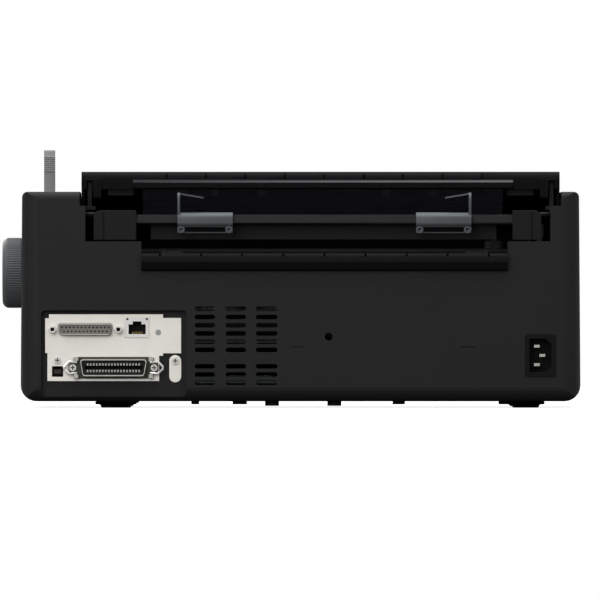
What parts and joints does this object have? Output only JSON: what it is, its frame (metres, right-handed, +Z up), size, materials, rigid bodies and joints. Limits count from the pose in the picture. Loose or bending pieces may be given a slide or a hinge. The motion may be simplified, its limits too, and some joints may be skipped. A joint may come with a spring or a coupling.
{
  "type": "dot matrix printer",
  "caption": "Narrow-carriage impact printer with a hinged top cover, a fold-up rear paper guide with sliding edge guides, a paper knob, a release lever and a rear socket panel.",
  "frame": {"origin": "centre of the bounding box at table height", "axes": "+X to the side with the paper knob, +Y to the rear with the sockets, +Z up"},
  "size_m": [0.4139, 0.3531, 0.1844],
  "materials": {
    "case_black": "fine textured",
    "feet_rubber": "matt",
    "panel_grey": "fine textured",
    "lens_green": "translucent",
    "zinc_sheet": "zinc plated",
    "ground_steel": "ground",
    "board_green": "solder resist",
    "board_brown": "plain laminate",
    "plate_metal": "matt plated",
    "socket_shell": "nickel plated",
    "screw_steel": "nickel plated",
    "inlet_black": "smooth",
    "motor_black": "satin",
    "belt_rubber": "matt",
    "platen_rubber": "ground",
    "gear_white": "moulded",
    "knob_grey": "moulded",
    "brass": "machined",
    "carriage_black": "moulded",
    "head_alloy": "die cast",
    "ribbon_fabric": "inked",
    "lever_grey": "moulded",
    "cover_black": "fine textured",
    "smoked_window": "clear",
    "guide_black": "moulded",
    "guide_grey": "moulded"
  },
  "bodies": {
    "case": {"bottom_case": "case_black", "rubber_feet": "feet_rubber", "upper_housing": "case_black", "paper_entry_lip": "case_black", "control_panel": "panel_grey", "indicator_lights": "lens_green", "side_frame_left": "zinc_sheet", "side_frame_right": "zinc_sheet", "guide_shaft": "ground_steel", "carriage_rail": "zinc_sheet", "main_board": "board_green", "power_supply_board": "board_brown", "interface_plate": "plate_metal", "serial_socket": "socket_shell", "network_socket": "socket_shell", "usb_socket": "socket_shell", "parallel_socket": "socket_shell", "connector_screws": "screw_steel", "blank_plate": "plate_metal", "mains_inlet": "inlet_black", "inlet_pins": "screw_steel", "feed_motor": "motor_black", "carriage_motor": "motor_black", "carriage_belt": "belt_rubber", "tractor_rod": "ground_steel"},
    "platen": {"platen_roller": "platen_rubber", "platen_shaft": "ground_steel", "platen_gear": "gear_white", "platen_knob": "knob_grey"},
    "idler_front": {"idler_gear_front": "gear_white"},
    "idler_rear": {"idler_gear_rear": "gear_white"},
    "pinion": {"motor_pinion": "brass"},
    "tractor_drive": {"tractor_shaft": "ground_steel"},
    "lower_roller": {"feed_roller": "platen_rubber"},
    "carriage": {"carriage": "carriage_black", "print_head": "head_alloy"},
    "pulley_drive": {"drive_pulley": "brass"},
    "pulley_tension": {"tension_pulley": "brass"},
    "ribbon": {"ribbon_cartridge": "carriage_black", "ink_ribbon": "ribbon_fabric"},
    "ribbon_winder": {"ribbon_knob": "knob_grey"},
    "thickness": {"thickness_lever": "knob_grey"},
    "release": {"release_lever": "lever_grey"},
    "cover": {"top_cover": "cover_black", "cover_window": "smoked_window"},
    "front_flap": {"front_cover": "case_black"},
    "guide": {"paper_guide": "guide_black"},
    "edge_left": {"edge_guide_left": "guide_grey"},
    "edge_right": {"edge_guide_right": "guide_grey"},
    "tractor_l": {"tractor_left": "gear_white"},
    "tractor_r": {"tractor_right": "gear_white"},
    "flap_l": {"tractor_flap_left": "knob_grey"},
    "flap_r": {"tractor_flap_right": "knob_grey"},
    "wire_left": {"bail_left": "screw_steel"},
    "wire_right": {"bail_right": "screw_steel"},
    "button_pause": {"pause_button": "knob_grey"},
    "button_tear": {"tear_button": "knob_grey"},
    "button_feed": {"feed_button": "knob_grey"},
    "button_load": {"load_button": "knob_grey"},
    "rocker": {"power_rocker": "inlet_black"}
  },
  "joints": [
    {"name": "platen_turn", "type": "hinge", "parent": "case", "child": "platen", "pos_m": [-0.0073, 0.0171, 0.0964], "axis": [1, 0, 0], "continuous": true},
    {"name": "idler_front_turn", "type": "hinge", "parent": "case", "child": "idler_front", "pos_m": [0.1287, 0.0571, 0.0964], "axis": [1, 0, 0], "continuous": true},
    {"name": "idler_rear_turn", "type": "hinge", "parent": "case", "child": "idler_rear", "pos_m": [0.1287, 0.0971, 0.0964], "axis": [1, 0, 0], "continuous": true},
    {"name": "pinion_turn", "type": "hinge", "parent": "case", "child": "pinion", "pos_m": [0.1287, 0.0571, 0.0684], "axis": [1, 0, 0], "continuous": true},
    {"name": "tractor_drive_turn", "type": "hinge", "parent": "case", "child": "tractor_drive", "pos_m": [-0.0073, 0.1271, 0.0964], "axis": [1, 0, 0], "continuous": true},
    {"name": "lower_roller_turn", "type": "hinge", "parent": "case", "child": "lower_roller", "pos_m": [-0.0073, 0.02725, 0.07882], "axis": [1, 0, 0], "continuous": true},
    {"name": "carriage_slide", "type": "slide", "parent": "case", "child": "carriage", "axis": [1, 0, 0], "range_m": [-0.11, 0.11]},
    {"name": "drive_pulley_turn", "type": "hinge", "parent": "case", "child": "pulley_drive", "pos_m": [-0.1443, -0.0189, 0.053], "axis": [0, 0, 1], "continuous": true},
    {"name": "tension_pulley_turn", "type": "hinge", "parent": "case", "child": "pulley_tension", "pos_m": [0.0957, -0.0189, 0.053], "axis": [0, 0, 1], "continuous": true},
    {"name": "ribbon_lift", "type": "slide", "parent": "case", "child": "ribbon", "axis": [0, 0, 1], "range_m": [0, 0.008]},
    {"name": "ribbon_winder_turn", "type": "hinge", "parent": "ribbon", "child": "ribbon_winder", "pos_m": [-0.1473, -0.0729, 0.118], "axis": [0, 0, 1], "continuous": true},
    {"name": "thickness_turn", "type": "hinge", "parent": "case", "child": "thickness", "pos_m": [-0.1788, -0.0189, 0.07], "axis": [1, 0, 0], "range_deg": [0, 25]},
    {"name": "release_turn", "type": "hinge", "parent": "case", "child": "release", "pos_m": [0.1726, 0.0691, 0.112], "axis": [1, 0, 0], "range_deg": [0, 20]},
    {"name": "cover_swing", "type": "hinge", "parent": "case", "child": "cover", "pos_m": [-0.0073, 0.0991, 0.16], "axis": [-1, 0, 0], "range_deg": [0, 65]},
    {"name": "front_flap_swing", "type": "hinge", "parent": "case", "child": "front_flap", "pos_m": [-0.0243, -0.1704, 0.0385], "axis": [1, 0, 0], "range_deg": [0, 80]},
    {"name": "guide_swing", "type": "hinge", "parent": "case", "child": "guide", "pos_m": [-0.0243, 0.1541, 0.137], "axis": [-1, 0, 0], "range_deg": [0, 65]},
    {"name": "edge_left_slide", "type": "slide", "parent": "guide", "child": "edge_left", "axis": [1, 0, 0], "range_m": [-0.028, 0.04]},
    {"name": "edge_right_slide", "type": "slide", "parent": "guide", "child": "edge_right", "axis": [1, 0, 0], "range_m": [-0.04, 0.028]},
    {"name": "tractor_l_slide", "type": "slide", "parent": "case", "child": "tractor_l", "axis": [1, 0, 0], "range_m": [-0.02, 0.06]},
    {"name": "tractor_r_slide", "type": "slide", "parent": "case", "child": "tractor_r", "axis": [1, 0, 0], "range_m": [-0.06, 0.018]},
    {"name": "flap_l_swing", "type": "hinge", "parent": "tractor_l", "child": "flap_l", "pos_m": [-0.1393, 0.1176, 0.1108], "axis": [0, -1, 0], "range_deg": [0, 80]},
    {"name": "flap_r_swing", "type": "hinge", "parent": "tractor_r", "child": "flap_r", "pos_m": [0.0907, 0.1176, 0.1108], "axis": [0, 1, 0], "range_deg": [0, 80]},
    {"name": "wire_left_swing", "type": "hinge", "parent": "case", "child": "wire_left", "pos_m": [0.0994, 0.1714, 0.0286], "axis": [0, 0, -1], "range_deg": [0, 100]},
    {"name": "wire_right_swing", "type": "hinge", "parent": "case", "child": "wire_right", "pos_m": [0.1528, 0.1714, 0.0286], "axis": [0, 0, 1], "range_deg": [0, 100]},
    {"name": "pause_press", "type": "slide", "parent": "case", "child": "button_pause", "axis": [0, 0.2554, -0.9668], "range_m": [0, 0.001], "stiffness_N_per_m": 400},
    {"name": "tear_press", "type": "slide", "parent": "case", "child": "button_tear", "axis": [0, 0.2554, -0.9668], "range_m": [0, 0.001], "stiffness_N_per_m": 400},
    {"name": "feed_press", "type": "slide", "parent": "case", "child": "button_feed", "axis": [0, 0.2554, -0.9668], "range_m": [0, 0.001], "stiffness_N_per_m": 400},
    {"name": "load_press", "type": "slide", "parent": "case", "child": "button_load", "axis": [0, 0.2554, -0.9668], "range_m": [0, 0.001], "stiffness_N_per_m": 400},
    {"name": "rocker_switch", "type": "hinge", "parent": "case", "child": "rocker", "pos_m": [-0.1853, -0.1684, 0.052], "axis": [1, 0, 0], "range_deg": [0, 14]}
  ],
  "couplings": [
    {"joint": "idler_front_turn", "follows": "platen_turn", "ratio": -1},
    {"joint": "idler_rear_turn", "follows": "platen_turn", "ratio": 1},
    {"joint": "pinion_turn", "follows": "platen_turn", "ratio": 2.5},
    {"joint": "tractor_drive_turn", "follows": "platen_turn", "ratio": -2},
    {"joint": "lower_roller_turn", "follows": "platen_turn", "ratio": -3},
    {"joint": "drive_pulley_turn", "follows": "carriage_slide", "rad_per_m": -166.67},
    {"joint": "tension_pulley_turn", "follows": "carriage_slide", "rad_per_m": -166.67}
  ]
}
